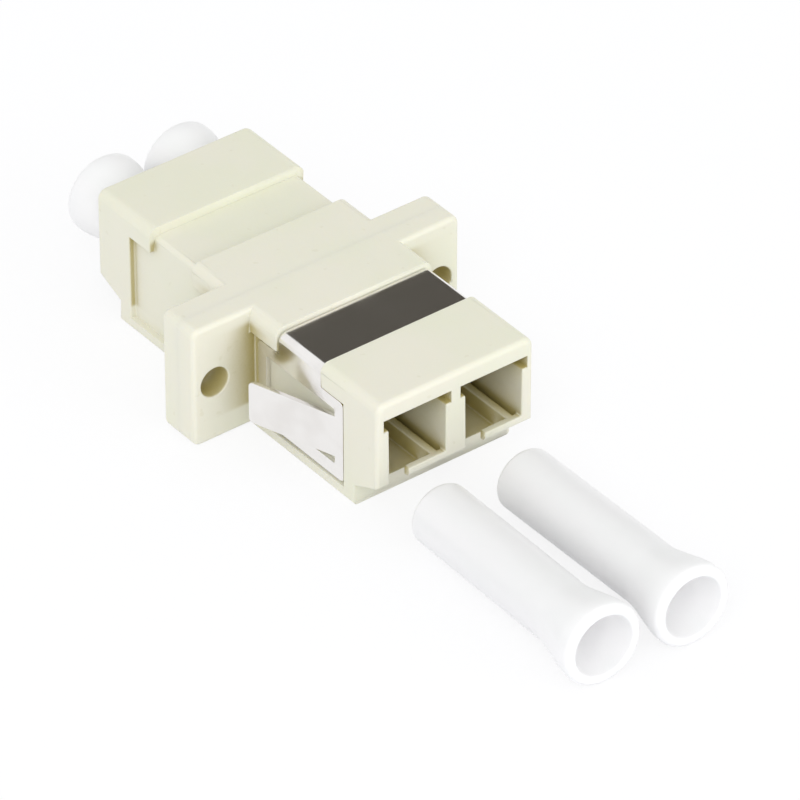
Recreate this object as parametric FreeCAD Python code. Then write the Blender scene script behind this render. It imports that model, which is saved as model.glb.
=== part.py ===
import FreeCAD, Part
import math
import os

# Flanged duplex LC fibre adapter with a folded panel clip, two fitted dust caps
# and two dust caps taken off. Millimetres.
# X runs across the two ports, +Y towards the capped ports, +Z up.
# The origin is the middle of the flange, on the line between its two screw holes.

V = FreeCAD.Vector
X_AXIS = V(1, 0, 0)
Y_AXIS = V(0, 1, 0)
Z_AXIS = V(0, 0, 1)
TOUCH = 1e-6

# ---- driving dimensions ----------------------------------------------------

# housing halves
body_width = 12.8
body_height = 9.3
half_length = 15.45
top_edge_round = 0.7
bottom_edge_round = 0.25
end_edge_round = 0.4
end_step_length = 2.5
end_step_low = 1.6
end_step_high = 2.75

# flange
flange_width = 22.0
half_flange = 1.7
flange_corner_round = 0.6
flange_edge_round = 0.35
screw_from_edge = 1.75
screw_hole_radius = 1.1

# ports
port_pitch = 6.25
port_size = 4.65
port_axis_above_base = 5.62
groove_depth = 1.3
rail_width = 0.6
rail_from_wall = 3.7
sill_length = 0.55
sill_from_wall = 1.6
latch_width = 5.5
latch_height = 0.85
latch_depth = 3.0

# middle wall and sleeve holders
half_middle_wall = 0.5
holder_radius = 1.45
holder_tip = 4.5
holder_mouth_radius = 1.0
holder_lip_radius = 0.7

# split alignment sleeves
sleeve_bore_radius = 0.6245
sleeve_wall = 0.185
sleeve_length = 6.8
sleeve_slot = 0.35
sleeve_radial_clearance = 0.04
sleeve_end_clearance = 0.05

# panel clip, one folded sheet
clip_sheet = 0.3
clip_seat_gap = 0.02
clip_edge_clearance = 0.15
clip_bend_radius = 0.35
clip_corner_round = 0.35
side_recess = 0.45
top_recess = 0.65
strap_near = 4.75
strap_far = 9.25
plate_near = 2.45
plate_far = 11.6
plate_top = 7.3
plate_bottom = 0.95
upright_strip = 0.9
top_strip = 0.9
bottom_strip = 1.05
tongue_low = 2.58
tongue_high = 5.8
tongue_length = 6.7
tongue_flare_deg = 18.5
tongue_bend_radius = 0.3

# dust caps
cap_port_clearance = 0.075
cap_wall_clearance = 0.95
cap_head_length = 4.05
cap_head_radius = 2.95
cap_flare_length = 3.0
cap_flare_blend = 4.0
cap_rim_round = 0.45
cap_end_round = 0.35
cap_bore_radius = 1.65
cap_web = 1.0
cap_mouth_radius = 2.2
cap_mouth_floor_radius = 1.75
cap_mouth_depth = 3.6

# dust caps that were taken off
loose_left_x = -4.3
loose_left_gap = 3.7
loose_left_yaw = 2.6
loose_right_x = 2.3
loose_right_gap = 4.1
loose_right_yaw = 1.6

# ---- values worked out from them -------------------------------------------

base_z = -body_height / 2
top_z = body_height / 2
side_x = body_width / 2
port_z = base_z + port_axis_above_base
port_half = port_size / 2
rail_top_z = port_z - port_half
port_top_z = port_z + port_half
groove_z = rail_top_z - groove_depth
sleeve_radius = sleeve_bore_radius + sleeve_wall
holder_bore_radius = sleeve_radius + sleeve_radial_clearance
holder_stop = sleeve_length / 2 + sleeve_end_clearance
port_centres = (-port_pitch / 2, port_pitch / 2)
recess_far = plate_far + clip_edge_clearance
recess_top_z = base_z + plate_top + clip_edge_clearance
recess_bottom_z = base_z + plate_bottom - clip_edge_clearance
recess_x = side_x - side_recess
plate_x = recess_x + clip_seat_gap
strap_z = top_z - top_recess + clip_seat_gap
cap_tube_radius = port_half - cap_port_clearance
cap_tube_length = half_length - half_middle_wall - cap_wall_clearance
cap_length = cap_tube_length + cap_head_length


def box(low, high):
    """A box between two opposite corners."""
    return Part.makeBox(high[0] - low[0], high[1] - low[1], high[2] - low[2], V(*low))


def box_on_side(sign, inner_x, outer_x, y_range, z_range):
    """A box on the +X side of the part (sign 1) or, mirrored, on its -X side (sign -1)."""
    low_x, high_x = sorted((sign * inner_x, sign * outer_x))
    return box((low_x, y_range[0], z_range[0]), (high_x, y_range[1], z_range[1]))


def flat_face(points):
    """A flat face inside an outline of straight runs."""
    corners = [V(*point) for point in points]
    return Part.Face(Part.makePolygon(corners + corners[:1]))


def rod(radius, x, z, y_from, y_to):
    """A cylinder along Y."""
    return Part.makeCylinder(radius, y_to - y_from, V(x, y_from, z), Y_AXIS)


def turned_half(shape):
    """The same shape turned half a turn about Z, for the far side."""
    turned = shape.copy()
    turned.rotate(V(0, 0, 0), Z_AXIS, 180)
    return turned


def edges_along(shape, axis):
    """Straight edges of a shape that run along one axis."""
    found = []
    for edge in shape.Edges:
        if edge.Curve.TypeId == "Part::GeomLine":
            direction = edge.Curve.Direction
            if abs(abs(direction.dot(axis)) - 1) < TOUCH:
                found.append(edge)
    return found


def edges_in_plane(shape, y, axis=None):
    """Edges whose ends all lie at one Y, or only those of them that run along an axis."""
    edges = shape.Edges if axis is None else edges_along(shape, axis)
    return [edge for edge in edges if all(abs(v.Point.y - y) < TOUCH for v in edge.Vertexes)]


def edges_at_height(shape, z):
    """Edges along Y at one height."""
    return [edge for edge in edges_along(shape, Y_AXIS) if abs(edge.Vertexes[0].Point.z - z) < TOUCH]


# ---- housing half, made for the near side (-Y) --------------------------------


def body_block():
    """The half body: rounded long edges, with the lower end corner cut back."""
    block = box((-side_x, -half_length, base_z), (side_x, 0, top_z))
    block = block.makeFillet(top_edge_round, edges_at_height(block, top_z))
    block = block.makeFillet(bottom_edge_round, edges_at_height(block, base_z))
    cut_back = flat_face(
        [
            (-side_x, -half_length, base_z),
            (-side_x, -half_length + end_step_length, base_z),
            (-side_x, -half_length + end_step_length, base_z + end_step_low),
            (-side_x, -half_length, base_z + end_step_high),
        ]
    )
    block = block.cut(cut_back.extrude(V(body_width, 0, 0)))
    return block.makeFillet(end_edge_round, edges_in_plane(block, -half_length))


def flange_plate():
    """Half of the flange: both ears in one plate, with its screw holes."""
    half_width = flange_width / 2
    plate = box((-half_width, -half_flange, base_z), (half_width, 0, top_z))
    plate = plate.makeFillet(flange_corner_round, edges_along(plate, Y_AXIS))
    plate = plate.makeFillet(flange_edge_round, edges_in_plane(plate, -half_flange))
    screw_x = half_width - screw_from_edge
    for x in (-screw_x, screw_x):
        plate = plate.cut(rod(screw_hole_radius, x, 0, -half_flange, 0))
    return plate


def port_hollow(x):
    """One port's hollow: floor grooves beside a guide rail, a sill at the mouth and the latch rebate."""
    left = x - port_half
    hollow = box((left, -half_length, groove_z), (left + port_size, -half_middle_wall, port_top_z))
    rail_left = left + rail_from_wall
    rail = box((rail_left, -half_length, groove_z), (rail_left + rail_width, -half_middle_wall, rail_top_z))
    sill = box(
        (left + sill_from_wall, -half_length, groove_z),
        (left + port_size, -half_length + sill_length, rail_top_z),
    )
    hollow = hollow.cut(rail).cut(sill)
    latch = box(
        (x - latch_width / 2, -half_length, port_top_z - latch_height),
        (x + latch_width / 2, -half_length + latch_depth, port_top_z),
    )
    return hollow.fuse(latch)


def sleeve_holder(x):
    """One holder tube that stands on the middle wall."""
    return rod(holder_radius, x, port_z, -holder_tip, -half_middle_wall)


def holder_bore(x):
    """The stepped bore through a holder and the wall: sleeve seat, stop lip and tapered mouth."""
    seat = rod(holder_bore_radius, x, port_z, -holder_stop, 0)
    tip = V(x, -holder_tip, port_z)
    mouth_length = holder_tip - holder_stop
    mouth = Part.makeCone(holder_mouth_radius, holder_lip_radius, mouth_length, tip, Y_AXIS)
    return seat.fuse(mouth)


def strap_seat():
    """The strap's recess: what lies outside a narrower block with rounded shoulders."""
    y_from = -(strap_far + clip_edge_clearance)
    y_to = -(strap_near - clip_edge_clearance)
    core = box((-recess_x, y_from, base_z), (recess_x, y_to, top_z - top_recess))
    core = core.makeFillet(clip_bend_radius, edges_at_height(core, top_z - top_recess))
    around = box((-side_x, y_from, recess_top_z), (side_x, y_to, top_z))
    return around.cut(core)


def plate_seat(sign):
    """One side's recess for the clip's plate, whose shoulders catch under its upper edge."""
    return box_on_side(sign, recess_x, side_x, (-recess_far, -half_flange), (recess_bottom_z, recess_top_z))


def housing_half():
    """One moulding: body, half flange, two ports and the half holders."""
    solid = body_block().fuse(flange_plate())
    solid = solid.cut([port_hollow(x) for x in port_centres])
    solid = solid.cut([strap_seat(), plate_seat(-1), plate_seat(1)])
    solid = solid.fuse([sleeve_holder(x) for x in port_centres])
    solid = solid.cut([holder_bore(x) for x in port_centres])
    return solid.removeSplitter()


# ---- split sleeve ---------------------------------------------------------------


def split_sleeve(x):
    """A thin tube with one slot along its length, centred on the middle wall."""
    half = sleeve_length / 2
    tube = rod(sleeve_radius, x, port_z, -half, half).cut(rod(sleeve_bore_radius, x, port_z, -half, half))
    slot = box((x - sleeve_slot / 2, -half, port_z), (x + sleeve_slot / 2, half, port_z + sleeve_radius))
    return tube.cut(slot)


# ---- panel clip -------------------------------------------------------------------


def clip_band():
    """The strap: a band folded over the top and down both sides to the side plates."""
    outer_x = plate_x + clip_sheet
    outer_z = strap_z + clip_sheet
    low = base_z + plate_top - top_strip
    inner_bend = clip_bend_radius + clip_seat_gap
    outer = box((-outer_x, -strap_far, low), (outer_x, -strap_near, outer_z))
    outer = outer.makeFillet(inner_bend + clip_sheet, edges_at_height(outer, outer_z))
    inner = box((-plate_x, -strap_far, low), (plate_x, -strap_near, strap_z))
    inner = inner.makeFillet(inner_bend, edges_at_height(inner, strap_z))
    return outer.cut(inner)


def clip_side(sign):
    """One side plate: four strips around a window."""
    low = base_z + plate_bottom
    high = base_z + plate_top
    outer_x = plate_x + clip_sheet
    plate = box_on_side(sign, plate_x, outer_x, (-plate_far, -plate_near), (low, high))
    plate = plate.makeFillet(clip_corner_round, edges_along(plate, X_AXIS))
    window_y = (-plate_far + upright_strip, -plate_near - upright_strip)
    window = box_on_side(sign, plate_x, outer_x, window_y, (low + bottom_strip, high - top_strip))
    return plate.cut(window)


def clip_tongue(sign):
    """One spring tongue: rooted on the far strip, then bent and flared away from the body."""
    root_y = -plate_far + upright_strip
    low_z = base_z + tongue_low
    high_z = base_z + tongue_high
    outer_x = plate_x + clip_sheet
    pivot = V(outer_x + tongue_bend_radius, root_y, 0)
    root = box((plate_x, root_y - upright_strip / 2, low_z), (outer_x, root_y, high_z))
    root_face = flat_face(
        [
            (plate_x, root_y, low_z),
            (plate_x, root_y, high_z),
            (outer_x, root_y, high_z),
            (outer_x, root_y, low_z),
        ]
    )
    bend = root_face.revolve(pivot, Z_AXIS, -tongue_flare_deg)
    leaf = box((plate_x, root_y, low_z), (outer_x, root_y + tongue_length, high_z))
    leaf = leaf.makeFillet(clip_corner_round, edges_in_plane(leaf, root_y + tongue_length, X_AXIS))
    leaf.rotate(pivot, Z_AXIS, -tongue_flare_deg)
    tongue = leaf.fuse([root, bend])
    if sign < 0:
        tongue = tongue.mirror(V(0, 0, 0), X_AXIS)
    return tongue


def panel_clip():
    """The whole clip as one solid."""
    pieces = []
    for sign in (-1, 1):
        pieces.append(clip_side(sign))
        pieces.append(clip_tongue(sign))
    return clip_band().fuse(pieces).removeSplitter()


# ---- dust caps --------------------------------------------------------------------


def dust_cap():
    """One cap along +Y: open tube end at Y = 0, flared head with its blind mouth at the far end."""
    flare_end = cap_tube_length + cap_flare_length
    outline = flat_face(
        [
            (0, 0, 0),
            (cap_tube_radius, 0, 0),
            (cap_tube_radius, cap_tube_length, 0),
            (cap_head_radius, flare_end, 0),
            (cap_head_radius, cap_length, 0),
            (0, cap_length, 0),
        ]
    )
    body = outline.revolve(V(0, 0, 0), Y_AXIS, 360)
    flare_edges = edges_in_plane(body, cap_tube_length) + edges_in_plane(body, flare_end)
    body = body.makeFillet(cap_flare_blend, flare_edges)
    body = body.makeFillet(cap_rim_round, edges_in_plane(body, cap_length))
    body = body.makeFillet(cap_end_round, edges_in_plane(body, 0))
    mouth_floor = cap_length - cap_mouth_depth
    bore = rod(cap_bore_radius, 0, 0, 0, mouth_floor - cap_web)
    floor_centre = V(0, mouth_floor, 0)
    mouth = Part.makeCone(cap_mouth_floor_radius, cap_mouth_radius, cap_mouth_depth, floor_centre, Y_AXIS)
    return body.cut([bore, mouth])


def fitted_cap(x):
    """A cap pushed home: its flare meets the port's mouth."""
    cap = dust_cap()
    cap.translate(V(x, half_length - cap_tube_length, port_z))
    return cap


def resting_pose():
    """Tilt in degrees and axis height of a cap that lies on its tube's rounded end and its head's blend."""
    flare_angle = math.atan2(cap_head_radius - cap_tube_radius, cap_flare_length)
    blend_start = cap_tube_length + cap_flare_length + cap_flare_blend * math.tan(flare_angle / 2)
    reach = blend_start - cap_end_round
    rise = (cap_head_radius - cap_flare_blend) - (cap_tube_radius - cap_end_round)
    tilt = math.atan2(rise, reach) + math.asin((cap_flare_blend - cap_end_round) / math.hypot(rise, reach))
    height = (cap_tube_radius - cap_end_round) * math.cos(tilt) + cap_end_round * (1 - math.sin(tilt))
    return math.degrees(tilt), height


def loose_cap(x, gap, yaw):
    """A cap lying in front of the adapter with its mouth turned away from it."""
    tilt, height = resting_pose()
    cap = dust_cap()
    cap.rotate(V(0, 0, 0), X_AXIS, tilt)
    cap.rotate(V(0, 0, 0), Z_AXIS, 180 - yaw)
    cap.translate(V(x, -half_length - gap, base_z + height))
    return cap


def main():
    """Write one STEP file for each piece."""
    front = housing_half()
    left_x, right_x = port_centres
    pieces = {
        "front_housing": front,
        "rear_housing": turned_half(front),
        "panel_clip": panel_clip(),
        "split_sleeve_left": split_sleeve(left_x),
        "split_sleeve_right": split_sleeve(right_x),
        "rear_cap_left": fitted_cap(left_x),
        "rear_cap_right": fitted_cap(right_x),
        "loose_cap_left": loose_cap(loose_left_x, loose_left_gap, loose_left_yaw),
        "loose_cap_right": loose_cap(loose_right_x, loose_right_gap, loose_right_yaw),
    }
    os.makedirs("parts", exist_ok=True)
    for name, shape in pieces.items():
        shape.exportStep(f"parts/{name}.step")
        print(name, len(shape.Solids), shape.isValid(), round(shape.Volume, 3))


main()
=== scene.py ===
"""Looks of a flanged duplex fibre adapter with its panel clip and dust caps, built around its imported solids.

Sizes are in metres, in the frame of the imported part: X runs across the two ports, +Y towards the capped ports
and +Z up. The origin is the middle of the flange, on the line between its two screw holes.
"""

import sys

import logging
import math
from collections.abc import Mapping, Sequence
from dataclasses import dataclass
from enum import Enum

import bmesh
import bpy
from mathutils import Matrix, Vector


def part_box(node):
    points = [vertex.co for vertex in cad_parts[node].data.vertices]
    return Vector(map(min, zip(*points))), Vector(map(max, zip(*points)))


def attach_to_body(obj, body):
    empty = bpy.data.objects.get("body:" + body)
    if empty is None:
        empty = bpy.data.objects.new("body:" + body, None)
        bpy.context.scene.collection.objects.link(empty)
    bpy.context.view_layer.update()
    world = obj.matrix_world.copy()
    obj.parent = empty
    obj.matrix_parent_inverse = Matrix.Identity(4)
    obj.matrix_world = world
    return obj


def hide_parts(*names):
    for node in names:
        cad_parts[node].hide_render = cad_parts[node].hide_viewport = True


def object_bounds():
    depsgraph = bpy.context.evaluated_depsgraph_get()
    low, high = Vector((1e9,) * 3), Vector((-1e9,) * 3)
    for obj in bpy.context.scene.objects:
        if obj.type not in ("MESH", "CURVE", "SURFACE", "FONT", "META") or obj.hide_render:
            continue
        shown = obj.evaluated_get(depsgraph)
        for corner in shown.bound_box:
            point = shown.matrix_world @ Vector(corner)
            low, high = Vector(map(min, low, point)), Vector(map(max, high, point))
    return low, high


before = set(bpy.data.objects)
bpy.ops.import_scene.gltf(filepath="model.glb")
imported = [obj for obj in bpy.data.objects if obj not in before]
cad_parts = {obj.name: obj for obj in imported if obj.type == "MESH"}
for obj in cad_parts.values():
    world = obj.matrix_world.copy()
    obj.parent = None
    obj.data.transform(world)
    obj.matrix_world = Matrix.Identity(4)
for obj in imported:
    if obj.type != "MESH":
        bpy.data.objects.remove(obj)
CAD_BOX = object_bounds()

LOG = logging.getLogger("fibre_adapter")
MM = 0.001
TABLE_Z = CAD_BOX[0][2]
NEAR_END_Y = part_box("front_housing")[0][1]
ORIGIN = Vector((0.0, 0.0, 0.0))
X, Y, Z = range(3)

Colour = tuple[float, float, float, float]
Triple = tuple[float, float, float]
Point = tuple[float, float]
Span = tuple[float, float]

WHITE: Colour = (1.0, 1.0, 1.0, 1.0)
BLANK_MAP = "blank"  # the clip's map of the flat strip that it is folded from
MIX_SHARE, MIX_FIRST, MIX_SECOND, MIX_RESULT = 0, 6, 7, 2  # the Mix node's colour sockets, whose names repeat


class Slot(Enum):
    """Names of the material slots."""

    HOUSING = "housing_ivory"
    CLIP = "clip_steel"
    SLEEVE = "sleeve_ceramic"
    CAP = "cap_white"


class Body(Enum):
    """The bodies that the part's joints move."""

    ADAPTER = "adapter"
    LEFT_CAP = "left_cap"
    RIGHT_CAP = "right_cap"


# ---- shader arithmetic ---------------------------------------------------------------


@dataclass(frozen=True)
class Signal:
    """A number that a material works out at each point, open to plain arithmetic."""

    graph: "Graph"
    socket: bpy.types.NodeSocket

    def _with(self, operation: str, first: "Signal | float", second: "Signal | float") -> "Signal":
        """The result of one Math node."""
        node = self.graph.node("ShaderNodeMath", {"operation": operation}, {0: first, 1: second})
        return Signal(self.graph, node.outputs[0])

    def __add__(self, other: "Signal | float") -> "Signal":
        """This signal plus another."""
        return self._with("ADD", self, other)

    def __radd__(self, other: float) -> "Signal":
        """A number plus this signal."""
        return self._with("ADD", other, self)

    def __sub__(self, other: "Signal | float") -> "Signal":
        """This signal less another."""
        return self._with("SUBTRACT", self, other)

    def __rsub__(self, other: float) -> "Signal":
        """A number less this signal."""
        return self._with("SUBTRACT", other, self)

    def __mul__(self, other: "Signal | float") -> "Signal":
        """This signal times another."""
        return self._with("MULTIPLY", self, other)

    def __rmul__(self, other: float) -> "Signal":
        """A number times this signal."""
        return self._with("MULTIPLY", other, self)


Feed = Signal | bpy.types.NodeSocket | float | Sequence[float]


class Graph:
    """The node tree of one material or of the world, with short calls for adding to it."""

    noise_roughness: float = 0.55
    openness_samples: int = 8

    def __init__(self, owner: bpy.types.Material | bpy.types.World) -> None:
        """Start an empty tree.

        Args:
            owner: the material or world whose nodes these are.
        """
        owner.use_nodes = True
        self.tree = owner.node_tree
        self.tree.nodes.clear()

    def node(
        self,
        kind: str,
        settings: Mapping[str, object] | None = None,
        sockets: Mapping[str | int, Feed] | None = None,
    ) -> bpy.types.Node:
        """Add one node.

        Args:
            kind: the node's type name.
            settings: its properties.
            sockets: values or links for its inputs, by name or number.

        Returns:
            The new node.
        """
        node = self.tree.nodes.new(kind)
        for name, value in (settings or {}).items():
            setattr(node, name, value)
        for key, value in (sockets or {}).items():
            source = value.socket if isinstance(value, Signal) else value
            if isinstance(source, bpy.types.NodeSocket):
                self.tree.links.new(source, node.inputs[key])
            else:
                node.inputs[key].default_value = source
        return node

    def place(self, stretch: Triple = (1.0, 1.0, 1.0)) -> bpy.types.NodeSocket:
        """Coordinates of the piece itself, in metres.

        Args:
            stretch: how many times as fast they run along each axis.

        Returns:
            The coordinates' socket.
        """
        coordinates = self.node("ShaderNodeTexCoord")
        mapping = self.node(
            "ShaderNodeMapping",
            {"vector_type": "POINT"},
            {"Vector": coordinates.outputs["Object"], "Scale": stretch},
        )
        return mapping.outputs["Vector"]

    def height(self) -> Signal:
        """Height above the part's origin, in metres."""
        parts = self.node("ShaderNodeSeparateXYZ", {}, {"Vector": self.place()})
        return Signal(self, parts.outputs["Z"])

    def noise(self, place: bpy.types.NodeSocket, per_metre: float, detail: float = 2.0) -> Signal:
        """Smooth noise from 0 to 1.

        Args:
            place: the coordinates it varies over.
            per_metre: how many of its clouds stand side by side in a metre.
            detail: how many finer layers lie on the first.

        Returns:
            The noise as a signal.
        """
        node = self.node(
            "ShaderNodeTexNoise",
            {},
            {"Vector": place, "Scale": per_metre, "Detail": detail, "Roughness": self.noise_roughness},
        )
        return Signal(self, node.outputs["Fac"])

    def between(self, signal: Signal, low: float, high: float) -> Signal:
        """A smooth step.

        Args:
            signal: the number that the step follows.
            low: where the step leaves 0.
            high: where the step reaches 1.

        Returns:
            The step as a signal.
        """
        node = self.node(
            "ShaderNodeMapRange",
            {"interpolation_type": "SMOOTHSTEP"},
            {"Value": signal, "From Min": low, "From Max": high},
        )
        return Signal(self, node.outputs["Result"])

    def openness(self, reach: float) -> Signal:
        """How far a piece's own faces leave a point open.

        Args:
            reach: how far away a face still counts, in metres.

        Returns:
            1 on open faces, falling towards 0 in corners and hollows.
        """
        node = self.node(
            "ShaderNodeAmbientOcclusion",
            {"only_local": True, "samples": self.openness_samples},
            {"Distance": reach},
        )
        return Signal(self, node.outputs["AO"])

    def mix(self, share: Signal, first: Feed, second: Feed) -> bpy.types.NodeSocket:
        """A colour between two, by the share of the second."""
        sockets = {MIX_SHARE: share, MIX_FIRST: first, MIX_SECOND: second}
        return self.node("ShaderNodeMix", {"data_type": "RGBA"}, sockets).outputs[MIX_RESULT]

    def bump(self, height: Signal, depth: float) -> bpy.types.NodeSocket:
        """The normal of a surface with a fine relief of the given depth in metres."""
        return self.node("ShaderNodeBump", {}, {"Height": height, "Distance": depth}).outputs["Normal"]

    def blend(self, share: Signal, first: bpy.types.Node, second: bpy.types.Node) -> bpy.types.Node:
        """A shader between two, by the share of the second."""
        return self.node("ShaderNodeMixShader", {}, {0: share, 1: first.outputs[0], 2: second.outputs[0]})

    def seen_directly(self) -> Signal:
        """What is seen rather than felt as light.

        Returns:
            1 for what the camera sees, also in a mirror or through glass, and 0 for what only lights.
        """
        path = self.node("ShaderNodeLightPath")
        names = ("Is Camera Ray", "Is Glossy Ray", "Is Transmission Ray")
        camera, glossy, through = (Signal(self, path.outputs[name]) for name in names)
        return camera + glossy + through

    def finish(self, shader: bpy.types.Node, kind: str = "ShaderNodeOutputMaterial") -> None:
        """Give the tree its output node, fed by a shader."""
        self.node(kind, {}, {"Surface": shader.outputs[0]})


def new_material(name: str) -> tuple[bpy.types.Material, Graph]:
    """An empty material and its graph."""
    material = bpy.data.materials.new(name)
    return material, Graph(material)


# ---- finishes ------------------------------------------------------------------------


@dataclass(frozen=True)
class IvoryMoulding:
    """Satin ivory moulding: slightly clouded, with a fine grained skin and shade painted darker into its
    hollows.

    The painted shade keeps to the heights of the ports. It fades in over the underside span and fades out over
    the top_recess span.
    """

    colour: Colour = (0.815, 0.797, 0.680, 1.0)
    cloud: Colour = (0.790, 0.792, 0.645, 1.0)
    cloud_edges: Span = (0.35, 0.70)
    clouds_per_metre: float = 130.0
    fleck: Colour = (0.730, 0.710, 0.560, 1.0)
    fleck_edges: Span = (0.70, 0.78)
    fleck_strength: float = 0.5
    flecks_per_metre: float = 1500.0
    # painted shade: the darker olive colour painted into hollows, standing in for the shade that falls there
    hollow_painted_shading: Colour = (0.465, 0.395, 0.150, 1.0)
    painted_shading_reach: float = 4.2 * MM
    painted_shading_from: Span = (0.45, 0.95)
    underside: Span = (-3.05 * MM, -2.70 * MM)
    top_recess: Span = (3.30 * MM, 3.90 * MM)
    roughness: float = 0.42
    roughness_spread: float = 0.10
    waves_per_metre: float = 390.0
    grains_per_metre: float = 7000.0
    grain_depth: float = 0.006 * MM
    glow: float = 0.12
    glow_reach: Triple = (0.9 * MM, 0.75 * MM, 0.45 * MM)

    def build(self) -> bpy.types.Material:
        """Make the material.

        Returns:
            The moulding's material.
        """
        material, graph = new_material("ivory_moulding")
        place = graph.place()
        clouds = graph.between(graph.noise(place, self.clouds_per_metre), *self.cloud_edges)
        flecks = graph.between(graph.noise(place, self.flecks_per_metre, detail=1.0), *self.fleck_edges)
        skin = graph.mix(flecks * self.fleck_strength, graph.mix(clouds, self.colour, self.cloud), self.fleck)
        height = graph.height()
        # painted shade: darker and olive where the piece's own faces shut a point in, at the ports' heights
        # only
        painted_shading_share = 1.0 - graph.between(graph.openness(self.painted_shading_reach), *self.painted_shading_from)
        painted_shade_heights = graph.between(height, *self.underside) * (1.0 - graph.between(height, *self.top_recess))
        colour = graph.mix(painted_shading_share * painted_shade_heights, skin, self.hollow_painted_shading)
        grain = graph.noise(place, self.grains_per_metre, detail=1.0)
        waves = graph.noise(place, self.waves_per_metre, detail=1.0)
        shader = graph.node(
            "ShaderNodeBsdfPrincipled",
            {"subsurface_method": "RANDOM_WALK"},
            {
                "Base Color": colour,
                "Roughness": self.roughness + waves * self.roughness_spread - self.roughness_spread / 2,
                "Normal": graph.bump(grain, self.grain_depth),
                "Subsurface Weight": self.glow,
                "Subsurface Radius": self.glow_reach,
                "Subsurface Scale": 1.0,
            },
        )
        graph.finish(shader)
        return material


@dataclass(frozen=True)
class RolledSpringSteel:
    """Bright rolled strip: fine lines along the blank's rolling direction, and faint handling marks."""

    colour: Colour = (0.89, 0.875, 0.86, 1.0)
    stain: Colour = (0.79, 0.765, 0.74, 1.0)
    roughness: float = 0.14
    lines_per_metre: float = 9000.0
    line_stretch: Triple = (0.02, 1.0, 1.0)
    line_depth: float = 0.0006 * MM
    line_stain: float = 0.2
    line_roughness: float = 0.05
    marks_per_metre: float = 350.0
    mark_edges: Span = (0.45, 0.75)
    mark_stain: float = 0.4
    mark_roughness: float = 0.06

    def build(self) -> bpy.types.Material:
        """Make the material.

        Returns:
            The steel's material.
        """
        material, graph = new_material("rolled_spring_steel")
        blank = graph.node("ShaderNodeUVMap", {"uv_map": BLANK_MAP}).outputs["UV"]
        along = graph.node("ShaderNodeMapping", {}, {"Vector": blank, "Scale": self.line_stretch})
        lines = graph.noise(along.outputs["Vector"], self.lines_per_metre)
        marks = graph.between(graph.noise(graph.place(), self.marks_per_metre), *self.mark_edges)
        stained = marks * self.mark_stain + lines * self.line_stain
        shader = graph.node(
            "ShaderNodeBsdfPrincipled",
            {},
            {
                "Base Color": graph.mix(stained, self.colour, self.stain),
                "Metallic": 1.0,
                "Roughness": self.roughness + marks * self.mark_roughness + lines * self.line_roughness,
                "Normal": graph.bump(lines, self.line_depth),
            },
        )
        graph.finish(shader)
        return material


@dataclass(frozen=True)
class GroundCeramic:
    """Ground white ceramic: an even white with fine grinding rings around the bore."""

    colour: Colour = (0.86, 0.85, 0.80, 1.0)
    shade: Colour = (0.80, 0.79, 0.73, 1.0)
    roughness: float = 0.22
    rings_per_metre: float = 12000.0
    ring_stretch: Triple = (0.02, 1.0, 0.02)
    ring_depth: float = 0.0008 * MM
    ring_roughness: float = 0.08

    def build(self) -> bpy.types.Material:
        """Make the material.

        Returns:
            The ceramic's material.
        """
        material, graph = new_material("ground_ceramic")
        rings = graph.noise(graph.place(self.ring_stretch), self.rings_per_metre, detail=1.0)
        shader = graph.node(
            "ShaderNodeBsdfPrincipled",
            {},
            {
                "Base Color": graph.mix(rings, self.colour, self.shade),
                "Roughness": self.roughness + rings * self.ring_roughness,
                "Normal": graph.bump(rings, self.ring_depth),
            },
        )
        graph.finish(shader)
        return material


@dataclass(frozen=True)
class MilkyPolythene:
    """Dust caps' soft white moulding: milky, faintly cool, with flow marks along the tube and painted light in
    hollows.
    """

    colour: Colour = (0.892, 0.888, 0.890, 1.0)
    flow: Colour = (0.876, 0.882, 0.880, 1.0)
    flow_edges: Span = (0.35, 0.70)
    flow_per_metre: float = 420.0
    flow_stretch: Triple = (1.0, 0.25, 1.0)
    # painted light: the paler colour painted into hollows, standing in for light that shines through the thin
    # walls
    hollow_painted_shading: Colour = (0.990, 0.985, 0.990, 1.0)
    painted_shading_reach: float = 3.0 * MM
    painted_shading_from: Span = (0.40, 0.90)
    roughness: float = 0.36
    roughness_spread: float = 0.08
    skin_per_metre: float = 2600.0
    skin_depth: float = 0.004 * MM
    glow: float = 0.35
    glow_reach: Triple = (1.2 * MM, 1.2 * MM, 1.2 * MM)

    def build(self) -> bpy.types.Material:
        """Make the material.

        Returns:
            The caps' material.
        """
        material, graph = new_material("milky_polythene")
        streaks = graph.noise(graph.place(self.flow_stretch), self.flow_per_metre)
        flow = graph.between(streaks, *self.flow_edges)
        skin = graph.noise(graph.place(), self.skin_per_metre, detail=1.0)
        # painted light: the colour turns paler where the cap's own faces shut a point in
        painted_shading_share = 1.0 - graph.between(graph.openness(self.painted_shading_reach), *self.painted_shading_from)
        shader = graph.node(
            "ShaderNodeBsdfPrincipled",
            {"subsurface_method": "RANDOM_WALK"},
            {
                "Base Color": graph.mix(painted_shading_share, graph.mix(flow, self.colour, self.flow), self.hollow_painted_shading),
                "Roughness": self.roughness + flow * self.roughness_spread - self.roughness_spread / 2,
                "Normal": graph.bump(skin, self.skin_depth),
                "Subsurface Weight": self.glow,
                "Subsurface Radius": self.glow_reach,
                "Subsurface Scale": 1.0,
            },
        )
        graph.finish(shader)
        return material


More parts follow.
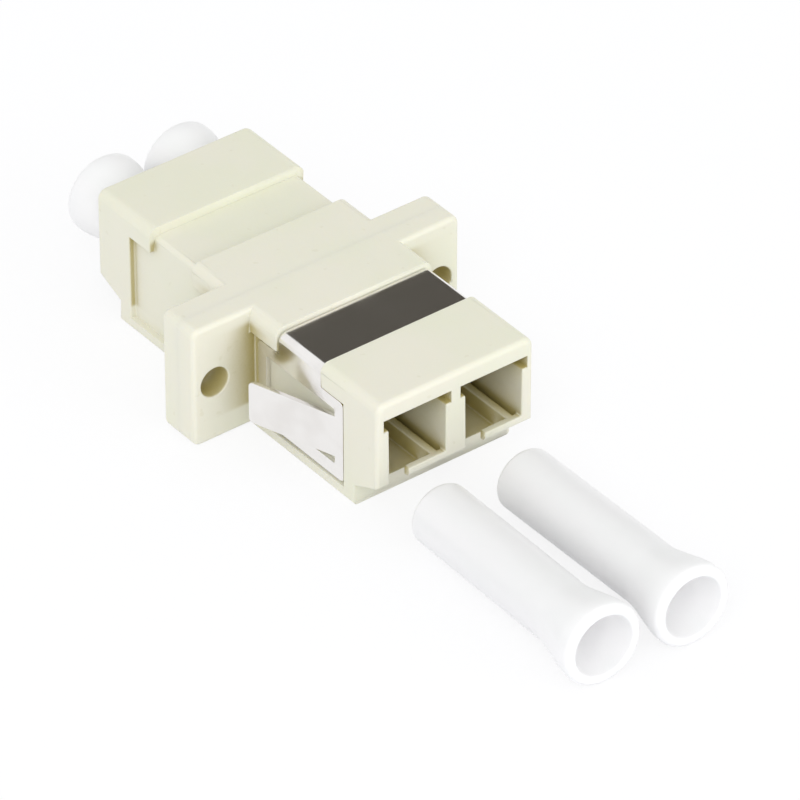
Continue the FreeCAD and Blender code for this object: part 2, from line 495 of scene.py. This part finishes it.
@dataclass(frozen=True)
class WhiteTable:
    """White table top that runs into the white backdrop and keeps a soft shadow."""

    colour: Colour = (0.965, 0.97, 1.0, 1.0)
    white_share: float = 0.82
    grains_per_metre: float = 60.0
    roughest: float = 0.2

    def build(self) -> bpy.types.Material:
        """Make the material.

        Returns:
            The table top's material.
        """
        material, graph = new_material("white_table")
        roughness = graph.noise(graph.place(), self.grains_per_metre) * self.roughest
        surface = graph.node("ShaderNodeBsdfDiffuse", {}, {"Color": self.colour, "Roughness": roughness})
        white = graph.node("ShaderNodeEmission", {}, {"Color": WHITE, "Strength": 1.0})
        graph.finish(graph.blend(graph.seen_directly() * self.white_share, surface, white))
        return material


# ---- shared mesh work ----------------------------------------------------------------

EASED_STEPS = 2
CUT_ANGLE = math.radians(50.0)


@dataclass(frozen=True)
class Corner:
    """A corner of a flat outline, with the radius that rounds it."""

    across: float
    along: float
    radius: float = 0.0


def rounded_outline(corners: Sequence[Corner], closed: bool, steps: int = 6) -> list[Point]:
    """Points of an outline whose corners are arcs.

    Args:
        corners: the corners in order.
        closed: whether the last corner runs back to the first.
        steps: pieces in each arc.

    Returns:
        The outline's points, without a repeated first point.
    """
    points: list[Point] = []
    count = len(corners)
    for index, corner in enumerate(corners):
        here = Vector((corner.across, corner.along))
        at_end = not closed and index in (0, count - 1)
        if at_end or corner.radius == 0.0:
            points.append((here.x, here.y))
            continue
        before = corners[index - 1]
        after = corners[(index + 1) % count]
        to_before = (Vector((before.across, before.along)) - here).normalized()
        to_after = (Vector((after.across, after.along)) - here).normalized()
        half_angle = to_before.angle(to_after) / 2
        centre = here + (to_before + to_after).normalized() * (corner.radius / math.sin(half_angle))
        setback = corner.radius / math.tan(half_angle)
        start = here + to_before * setback - centre
        turn = start.angle_signed(here + to_after * setback - centre)
        for step in range(steps + 1):
            arm = Matrix.Rotation(-turn * step / steps, 2) @ start
            points.append((centre.x + arm.x, centre.y + arm.y))
    return points


def middle_of(node: str) -> Vector:
    """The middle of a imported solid's box."""
    low, high = (Vector(corner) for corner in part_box(node))
    return (low + high) / 2


def lay_strip(bm: bmesh.types.BMesh, rows: Sequence[tuple[Vector, Vector]]) -> None:
    """Lay a row of quads between matching pairs of points.

    Args:
        bm: the mesh work that gets them.
        rows: the pairs, in order along the strip.
    """
    verts = [[bm.verts.new(point) for point in row] for row in rows]
    for (a, b), (c, d) in zip(verts, verts[1:]):
        bm.faces.new((a, b, d, c))


def new_piece(name: str, bm: bmesh.types.BMesh, material: bpy.types.Material) -> bpy.types.Object:
    """Turn finished mesh work into a smooth-shaded object.

    Args:
        name: the piece's name.
        bm: its mesh work, which is freed.
        material: its finish.

    Returns:
        The new object.
    """
    bmesh.ops.recalc_face_normals(bm, faces=bm.faces)
    mesh = bpy.data.meshes.new(name)
    bm.to_mesh(mesh)
    bm.free()
    mesh.polygons.foreach_set("use_smooth", [True] * len(mesh.polygons))
    mesh.materials.append(material)
    piece = bpy.data.objects.new(name, mesh)
    bpy.context.scene.collection.objects.link(piece)
    return piece


def thicken(piece: bpy.types.Object, thickness: float, even: bool = False) -> None:
    """Give a flat or curved sheet its thickness, half to each side.

    Args:
        piece: the sheet.
        thickness: its thickness.
        even: whether the thickness holds through its bends.
    """
    modifier = piece.modifiers.new("thickness", "SOLIDIFY")
    modifier.thickness = thickness
    modifier.offset = 0.0
    modifier.use_even_offset = even


def ease_cut_edges(piece: bpy.types.Object, width: float) -> None:
    """Round the cut edges of a thickened sheet, and leave its bends.

    Args:
        piece: the sheet.
        width: how far in from the edge the round starts.
    """
    modifier = piece.modifiers.new("eased_edges", "BEVEL")
    modifier.width = width
    modifier.segments = EASED_STEPS
    modifier.limit_method = "ANGLE"
    modifier.angle_limit = CUT_ANGLE


def weigh_normals(piece: bpy.types.Object) -> None:
    """Let large faces rule the shading, so that flats stay flat beside their rounded edges."""
    modifier = piece.modifiers.new("weighted_normals", "WEIGHTED_NORMAL")
    modifier.keep_sharp = True


def attach(piece: bpy.types.Object, body: Body, node: str) -> None:
    """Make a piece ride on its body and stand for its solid.

    Args:
        piece: the piece.
        body: what it moves with.
        node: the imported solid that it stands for.
    """
    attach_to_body(piece, body.value)
    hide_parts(node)
    LOG.info("%s rides on %s: %d faces", piece.name, body.value, len(piece.data.polygons))


# ---- housing -------------------------------------------------------------------------


@dataclass
class HousingHalf:
    """One moulded half of the housing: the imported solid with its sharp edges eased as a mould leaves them."""

    name: str
    node: str
    edge_round: float = 0.12 * MM
    thin_share: float = 0.35
    finest_edge: float = 0.10 * MM
    flat_within: float = math.radians(0.5)
    sharp_from: float = math.radians(38.0)
    same_place: float = 0.002 * MM
    weld_y: float = 0.0
    recess_bottom_z: float = -3.85 * MM
    latch_side_x: tuple[float, ...] = (-5.875 * MM, -0.375 * MM, 0.375 * MM, 5.875 * MM)

    def _lies_at(self, edge: bmesh.types.BMEdge, axis: int, place: float) -> bool:
        """Whether both ends of an edge have the given place on an axis."""
        return all(abs(vert.co[axis] - place) < self.same_place for vert in edge.verts)

    def _share(self, edge: bmesh.types.BMEdge) -> float:
        """How much of the full round an edge has room for.

        Args:
            edge: a sharp edge of the moulding.

        Returns:
            0 at the weld and on the finest edges, less than 1 beside the thin rails and latch rebates, and 1
            elsewhere.
        """
        if self._lies_at(edge, Y, self.weld_y) or edge.calc_length() < self.finest_edge:
            return 0.0
        at_recess = self._lies_at(edge, Z, self.recess_bottom_z)
        at_latch = any(self._lies_at(edge, X, side) for side in self.latch_side_x)
        return self.thin_share if at_recess or at_latch else 1.0

    def _eased_mesh(self) -> bmesh.types.BMesh:
        """The solid's mesh with its flats merged and its sharp edges marked for rounding.

        Returns:
            The mesh work.
        """
        bm = bmesh.new()
        bm.from_mesh(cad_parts[self.node].data)
        bmesh.ops.remove_doubles(bm, verts=bm.verts, dist=self.same_place)
        bmesh.ops.dissolve_limit(bm, angle_limit=self.flat_within, verts=bm.verts, edges=bm.edges)
        weights = bm.edges.layers.float.new("bevel_weight_edge")
        for edge in bm.edges:
            if edge.calc_face_angle(0.0) > self.sharp_from:
                edge[weights] = self._share(edge)
                edge.smooth = edge[weights] > 0.0
        return bm

    def build(self, finish: bpy.types.Material) -> bpy.types.Object:
        """Make the piece.

        Args:
            finish: the moulding's material.

        Returns:
            The half housing.
        """
        piece = new_piece(self.name, self._eased_mesh(), finish)
        ease = piece.modifiers.new("eased_edges", "BEVEL")
        ease.width = self.edge_round
        ease.segments = EASED_STEPS
        ease.limit_method = "WEIGHT"
        ease.use_clamp_overlap = False
        weigh_normals(piece)
        attach(piece, Body.ADAPTER, self.node)
        return piece


# ---- panel clip ----------------------------------------------------------------------


@dataclass
class PanelClip:
    """The clip, folded from one strip: strap, two windowed side plates and two sprung tongues.

    Each place along the ports is given from the strip's far edge to its near one, as seen from the flange.
    """

    name: str = "folded_panel_clip"
    node: str = "panel_clip"
    sheet: float = 0.30 * MM
    side_x: float = 6.12 * MM
    strap_z: float = 4.17 * MM
    strap_bend: float = 0.52 * MM
    strap_y: Span = (-9.25 * MM, -4.75 * MM)
    plate_y: Span = (-11.6 * MM, -2.45 * MM)
    plate_z: Span = (-3.70 * MM, 2.65 * MM)
    window_y: Span = (-10.7 * MM, -3.35 * MM)
    window_z: Span = (-2.65 * MM, 1.75 * MM)
    tongue_z: Span = (-2.07 * MM, 1.15 * MM)
    tongue_length: float = 6.7 * MM
    tongue_flare: float = math.radians(18.5)
    tongue_bend: float = 0.45 * MM
    corner_round: float = 0.35 * MM
    window_round: float = 0.18 * MM
    sheared_edge: float = 0.05 * MM
    bend_steps: int = 8
    join_gap: float = 0.001 * MM

    def _plate_outline(self) -> list[Point]:
        """The side plate's outline, with the strap's two corners in its top edge.

        Returns:
            The outline's points across Y and up Z.
        """
        far, near = self.plate_y
        low, high = self.plate_z
        strap_far, strap_near = self.strap_y
        corners = [
            Corner(far, low, self.corner_round),
            Corner(near, low, self.corner_round),
            Corner(near, high, self.corner_round),
            Corner(strap_near, high),
            Corner(strap_far, high),
            Corner(far, high, self.corner_round),
        ]
        return rounded_outline(corners, closed=True)

    def _window_outline(self) -> list[Point]:
        """The window's outline, with the tongue's two root corners in its far edge.

        Returns:
            The outline's points across Y and up Z.
        """
        far, near = self.window_y
        low, high = self.window_z
        tongue_low, tongue_high = self.tongue_z
        corners = [
            Corner(far, low, self.window_round),
            Corner(near, low, self.window_round),
            Corner(near, high, self.window_round),
            Corner(far, high, self.window_round),
            Corner(far, tongue_high),
            Corner(far, tongue_low),
        ]
        return rounded_outline(corners, closed=True)

    def _plate(self, bm: bmesh.types.BMesh, side: int) -> None:
        """Fill one flat side plate around its window.

        Args:
            bm: the clip's mesh work.
            side: -1 for the left plate, 1 for the right one.
        """
        edges = []
        for loop in (self._plate_outline(), self._window_outline()):
            verts = [bm.verts.new((side * self.side_x, y, z)) for y, z in loop]
            edges += [bm.edges.new(pair) for pair in zip(verts, verts[1:] + verts[:1])]
        bmesh.ops.triangle_fill(bm, edges=edges, use_beauty=True)

    def _strap(self, bm: bmesh.types.BMesh) -> None:
        """Lay the strap from one side plate's top edge over the housing to the other's.

        Args:
            bm: the clip's mesh work.
        """
        foot = self.plate_z[1]
        corners = [
            Corner(-self.side_x, foot),
            Corner(-self.side_x, self.strap_z, self.strap_bend),
            Corner(self.side_x, self.strap_z, self.strap_bend),
            Corner(self.side_x, foot),
        ]
        path = rounded_outline(corners, closed=False, steps=self.bend_steps)
        far, near = self.strap_y
        lay_strip(bm, [(Vector((x, near, z)), Vector((x, far, z))) for x, z in path])

    def _tongue(self, bm: bmesh.types.BMesh, side: int) -> None:
        """Lay one tongue, bent out from the window's far edge, with rounded tip corners.

        Args:
            bm: the clip's mesh work.
            side: -1 for the left tongue, 1 for the right one.
        """
        root_y = self.window_y[0]
        low, high = self.tongue_z
        centre_x = self.side_x + self.tongue_bend
        rows = []
        for step in range(self.bend_steps + 1):
            angle = self.tongue_flare * step / self.bend_steps
            x = side * (centre_x - self.tongue_bend * math.cos(angle))
            y = root_y + self.tongue_bend * math.sin(angle)
            rows.append((Vector((x, y, low)), Vector((x, y, high))))
        run = Vector((side * math.sin(self.tongue_flare), math.cos(self.tongue_flare), 0.0))
        tip = [
            Corner(0.0, low),
            Corner(self.tongue_length, low, self.corner_round),
            Corner(self.tongue_length, high, self.corner_round),
            Corner(0.0, high),
        ]
        start = Vector((rows[-1][0].x, rows[-1][0].y, 0.0))
        lay_strip(bm, rows)
        outline = rounded_outline(tip, closed=False)
        bm.faces.new([bm.verts.new(start + run * along + Vector((0.0, 0.0, z))) for along, z in outline])

    def _map_blank(self, bm: bmesh.types.BMesh) -> None:
        """Give each face its place on the flat strip that the clip was folded from.

        Args:
            bm: the clip's mesh work.
        """
        layer = bm.loops.layers.uv.new(BLANK_MAP)
        for face in bm.faces:
            for loop in face.loops:
                x, y, z = loop.vert.co
                over_top = self.strap_z - z if abs(x) > self.side_x - self.strap_bend else 0.0
                loop[layer].uv = (x + math.copysign(over_top, x), y)

    def build(self, finish: bpy.types.Material) -> bpy.types.Object:
        """Make the piece.

        Args:
            finish: the steel's material.

        Returns:
            The clip.
        """
        bm = bmesh.new()
        for side in (-1, 1):
            self._plate(bm, side)
            self._tongue(bm, side)
        self._strap(bm)
        bmesh.ops.remove_doubles(bm, verts=bm.verts, dist=self.join_gap)
        self._map_blank(bm)
        piece = new_piece(self.name, bm, finish)
        thicken(piece, self.sheet, even=True)
        ease_cut_edges(piece, self.sheared_edge)
        weigh_normals(piece)
        attach(piece, Body.ADAPTER, self.node)
        return piece


# ---- split sleeves -------------------------------------------------------------------


@dataclass
class SplitSleeve:
    """One split alignment sleeve: a thin ground tube, open along one slot, with eased edges."""

    name: str
    node: str
    bore: float = 0.6245 * MM
    wall: float = 0.185 * MM
    length: float = 6.8 * MM
    slot_width: float = 0.35 * MM
    edge_round: float = 0.03 * MM
    steps: int = 72

    def build(self, finish: bpy.types.Material) -> bpy.types.Object:
        """Make the piece.

        Args:
            finish: the ceramic's material.

        Returns:
            The sleeve.
        """
        bm = bmesh.new()
        centre = middle_of(self.node)
        middle = self.bore + self.wall / 2
        half_slot = math.asin(self.slot_width / 2 / middle)
        half_length = self.length / 2
        rows = []
        for step in range(self.steps + 1):
            angle = half_slot + (math.tau - 2 * half_slot) * step / self.steps
            x = centre.x + middle * math.sin(angle)
            z = centre.z + middle * math.cos(angle)
            rows.append((Vector((x, -half_length, z)), Vector((x, half_length, z))))
        lay_strip(bm, rows)
        piece = new_piece(self.name, bm, finish)
        thicken(piece, self.wall)
        ease_cut_edges(piece, self.edge_round)
        weigh_normals(piece)
        attach(piece, Body.ADAPTER, self.node)
        return piece


# ---- dust caps -----------------------------------------------------------------------


@dataclass
class DustCap:
    """One dust cap: an open tube that flares to a head with a blind mouth."""

    name: str
    node: str
    body: Body
    place: Matrix
    tube_length: float = 14.0 * MM
    tube_radius: float = 2.25 * MM
    head_length: float = 4.05 * MM
    head_radius: float = 2.95 * MM
    flare_length: float = 3.0 * MM
    flare_round: float = 4.0 * MM
    rim_round: float = 0.45 * MM
    end_round: float = 0.35 * MM
    bore_radius: float = 1.65 * MM
    web: float = 1.0 * MM
    mouth_radius: float = 2.2 * MM
    mouth_floor_radius: float = 1.75 * MM
    mouth_depth: float = 3.6 * MM
    mouth_floor_round: float = 0.20 * MM
    lip_round: float = 0.18 * MM
    inner_round: float = 0.10 * MM
    arc_steps: int = 8
    steps: int = 96

    @staticmethod
    def fitted_place(node: str) -> Matrix:
        """Where a cap sits when it is pushed home in a far port, its tube's end towards the middle wall."""
        centre = middle_of(node)
        return Matrix.Translation((centre.x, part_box(node)[0][1], centre.z))

    @classmethod
    def resting_place(cls, centre_x: float, gap: float, yaw: float) -> Matrix:
        """Where a cap lies in front of the near ports, on its tube's rounded end and its head.

        Args:
            centre_x: the tube end's place across the ports.
            gap: the tube end's distance from the housing's near end.
            yaw: the angle that the cap is turned by on the table.

        Returns:
            The cap's matrix.
        """
        flare = math.atan2(cls.head_radius - cls.tube_radius, cls.flare_length)
        reach = cls.tube_length + cls.flare_length + cls.flare_round * math.tan(flare / 2) - cls.end_round
        rise = (cls.head_radius - cls.flare_round) - (cls.tube_radius - cls.end_round)
        lean = math.asin((cls.flare_round - cls.end_round) / math.hypot(rise, reach))
        tilt = math.atan2(rise, reach) + lean
        height = (cls.tube_radius - cls.end_round) * math.cos(tilt) + cls.end_round * (1 - math.sin(tilt))
        spot = Matrix.Translation((centre_x, NEAR_END_Y - gap, TABLE_Z + height))
        return spot @ Matrix.Rotation(math.pi - yaw, 4, "Z") @ Matrix.Rotation(tilt, 4, "X")

    def _profile(self) -> list[Point]:
        """The cap's section from its axis, around the wall, and back to the axis.

        Returns:
            The section's points, each as a radius and a place along the axis.
        """
        length = self.tube_length + self.head_length
        mouth_floor = length - self.mouth_depth
        bore_end = mouth_floor - self.web
        corners = [
            Corner(0.0, bore_end),
            Corner(self.bore_radius, bore_end, self.inner_round),
            Corner(self.bore_radius, 0.0, self.inner_round),
            Corner(self.tube_radius, 0.0, self.end_round),
            Corner(self.tube_radius, self.tube_length, self.flare_round),
            Corner(self.head_radius, self.tube_length + self.flare_length, self.flare_round),
            Corner(self.head_radius, length, self.rim_round),
            Corner(self.mouth_radius, length, self.lip_round),
            Corner(self.mouth_floor_radius, mouth_floor, self.mouth_floor_round),
            Corner(0.0, mouth_floor),
        ]
        return rounded_outline(corners, closed=False, steps=self.arc_steps)

    def _turn(self, bm: bmesh.types.BMesh) -> None:
        """Turn the section about the cap's axis.

        Args:
            bm: the cap's mesh work.
        """
        profile = self._profile()
        poles = [bm.verts.new((0.0, profile[index][1], 0.0)) for index in (0, -1)]
        rings = []
        for radius, along in profile[1:-1]:
            angles = (math.tau * step / self.steps for step in range(self.steps))
            rings.append([bm.verts.new((radius * math.cos(a), along, radius * math.sin(a))) for a in angles])
        for step in range(self.steps):
            after = (step + 1) % self.steps
            bm.faces.new((poles[0], rings[0][step], rings[0][after]))
            bm.faces.new((poles[1], rings[-1][after], rings[-1][step]))
            for inner, outer in zip(rings, rings[1:]):
                bm.faces.new((inner[step], outer[step], outer[after], inner[after]))

    def build(self, finish: bpy.types.Material) -> bpy.types.Object:
        """Make the piece.

        Args:
            finish: the cap's material.

        Returns:
            The cap, in its place.
        """
        bm = bmesh.new()
        self._turn(bm)
        piece = new_piece(self.name, bm, finish)
        piece.matrix_world = self.place
        weigh_normals(piece)
        attach(piece, self.body, self.node)
        return piece


# ---- studio --------------------------------------------------------------------------


def facing(azimuth: float, elevation: float) -> Vector:
    """The direction from the part towards a viewer, by angles in degrees."""
    turn, lift = math.radians(azimuth), math.radians(elevation)
    return Vector((math.sin(turn) * math.cos(lift), -math.cos(turn) * math.cos(lift), math.sin(lift)))


def aim(thing: bpy.types.Object, at: Vector, towards: Vector) -> None:
    """Put a camera, lamp or card in place and turn its face.

    Args:
        thing: what to place.
        at: where it stands.
        towards: the point that it faces.
    """
    thing.location = at
    thing.rotation_mode = "QUATERNION"
    thing.rotation_quaternion = (towards - at).to_track_quat("-Z", "Y")


@dataclass(frozen=True)
class Lamp:
    """A square soft lamp, placed by angles in degrees."""

    name: str
    azimuth: float
    elevation: float
    distance: float
    size: float
    watts: float


@dataclass
class Studio:
    """White table, soft lamps, a dark card that the strap mirrors, and the camera, by angles in degrees."""

    azimuth: float = -37.6
    elevation: float = 36.6
    distance: float = 0.476
    focal_length: float = 322.0
    nearest_seen: float = 0.01
    farthest_seen: float = 20.0
    aim_right: float = 5.8 * MM
    aim_up: float = -1.6 * MM
    ambient: float = 0.80
    table_size: float = 4.0
    card_width: float = 0.34
    card_height: float = 0.39
    card_distance: float = 0.40
    card_grey: Colour = (0.095, 0.088, 0.075, 1.0)
    lamps: tuple[Lamp, ...] = (
        Lamp("key_lamp", azimuth=-48.0, elevation=42.0, distance=0.90, size=0.50, watts=2.20),
        Lamp("front_lamp", azimuth=20.0, elevation=18.0, distance=0.90, size=0.50, watts=1.60),
    )

    def _centre(self) -> Vector:
        """The middle of what the camera sees.

        Returns:
            The point, aimed off the origin's foot on the table.
        """
        turn, lift = math.radians(self.azimuth), math.radians(self.elevation)
        right = Vector((math.cos(turn), math.sin(turn), 0.0))
        up = Vector((-math.sin(turn) * math.sin(lift), math.cos(turn) * math.sin(lift), math.cos(lift)))
        return Vector((0.0, 0.0, TABLE_Z)) + right * self.aim_right + up * self.aim_up

    def _add_camera(self) -> None:
        """The camera, a long lens at the chosen angle."""
        data = bpy.data.cameras.new("camera")
        data.lens = self.focal_length
        data.clip_start = self.nearest_seen
        data.clip_end = self.farthest_seen
        camera = bpy.data.objects.new("camera", data)
        bpy.context.scene.collection.objects.link(camera)
        centre = self._centre()
        aim(camera, centre + facing(self.azimuth, self.elevation) * self.distance, centre)
        bpy.context.scene.camera = camera

    def _add_lamps(self) -> None:
        """The soft lamps."""
        for lamp in self.lamps:
            data = bpy.data.lights.new(lamp.name, "AREA")
            data.size = lamp.size
            data.energy = lamp.watts
            light = bpy.data.objects.new(lamp.name, data)
            bpy.context.scene.collection.objects.link(light)
            aim(light, facing(lamp.azimuth, lamp.elevation) * lamp.distance, ORIGIN)

    def _add_world(self) -> None:
        """A white surround, softer as a light than it looks."""
        world = bpy.data.worlds.new("white_surround")
        bpy.context.scene.world = world
        graph = Graph(world)
        light = graph.node("ShaderNodeBackground", {}, {"Color": WHITE, "Strength": self.ambient})
        seen = graph.node("ShaderNodeBackground", {}, {"Color": WHITE, "Strength": 1.0})
        graph.finish(graph.blend(graph.seen_directly(), light, seen), "ShaderNodeOutputWorld")

    @staticmethod
    def _flat(name: str, width: float, height: float, material: bpy.types.Material) -> bpy.types.Object:
        """Make a flat sheet of the studio, which isn't part of the object.

        Args:
            name: the sheet's name.
            width: its size along X.
            height: its size along Y, before it is turned.
            material: its finish.

        Returns:
            The sheet, lying at the origin.
        """
        bm = bmesh.new()
        half = Matrix.Diagonal((width / 2, height / 2, 1.0, 1.0))
        bmesh.ops.create_grid(bm, x_segments=1, y_segments=1, size=1.0, matrix=half)
        sheet = new_piece(name, bm, material)
        return sheet

    def _add_table(self) -> None:
        """The white table top."""
        table = self._flat("table", self.table_size, self.table_size, WhiteTable().build())
        table.location.z = TABLE_Z

    def _add_card(self) -> None:
        """A dark card behind the part, seen only in mirror-bright metal."""
        material, graph = new_material("dark_card")
        graph.finish(graph.node("ShaderNodeEmission", {}, {"Color": self.card_grey, "Strength": 1.0}))
        card = self._flat("dark_card", self.card_width, self.card_height, material)
        behind = facing(self.azimuth + 180.0, self.elevation)
        aim(card, behind * self.card_distance, ORIGIN)
        card.visible_camera = False
        card.visible_diffuse = False
        card.visible_transmission = False
        card.visible_shadow = False

    def build(self) -> None:
        """Set the studio up."""
        self._add_world()
        self._add_table()
        self._add_card()
        self._add_lamps()
        self._add_camera()
        bpy.context.scene.view_settings.view_transform = "Standard"


# ---- the whole part ------------------------------------------------------------------


def main() -> None:
    """Build every piece in order, then the studio around them."""
    logging.basicConfig(level=logging.INFO, format="%(name)s: %(message)s", stream=sys.stdout)
    ivory = IvoryMoulding().build()
    HousingHalf("front_moulding", "front_housing").build(ivory)
    HousingHalf("rear_moulding", "rear_housing").build(ivory)
    PanelClip().build(RolledSpringSteel().build())
    ceramic = GroundCeramic().build()
    SplitSleeve("left_sleeve", "split_sleeve_left").build(ceramic)
    SplitSleeve("right_sleeve", "split_sleeve_right").build(ceramic)
    milky = MilkyPolythene().build()
    left_home = DustCap.fitted_place("rear_cap_left")
    right_home = DustCap.fitted_place("rear_cap_right")
    left_rest = DustCap.resting_place(centre_x=-4.3 * MM, gap=3.7 * MM, yaw=math.radians(2.6))
    right_rest = DustCap.resting_place(centre_x=2.3 * MM, gap=4.1 * MM, yaw=math.radians(1.6))
    DustCap("left_fitted_cap", "rear_cap_left", Body.LEFT_CAP, left_home).build(milky)
    DustCap("right_fitted_cap", "rear_cap_right", Body.RIGHT_CAP, right_home).build(milky)
    DustCap("left_loose_cap", "loose_cap_left", Body.ADAPTER, left_rest).build(milky)
    DustCap("right_loose_cap", "loose_cap_right", Body.ADAPTER, right_rest).build(milky)
    Studio().build()


if __name__ == "__main__":
    main()
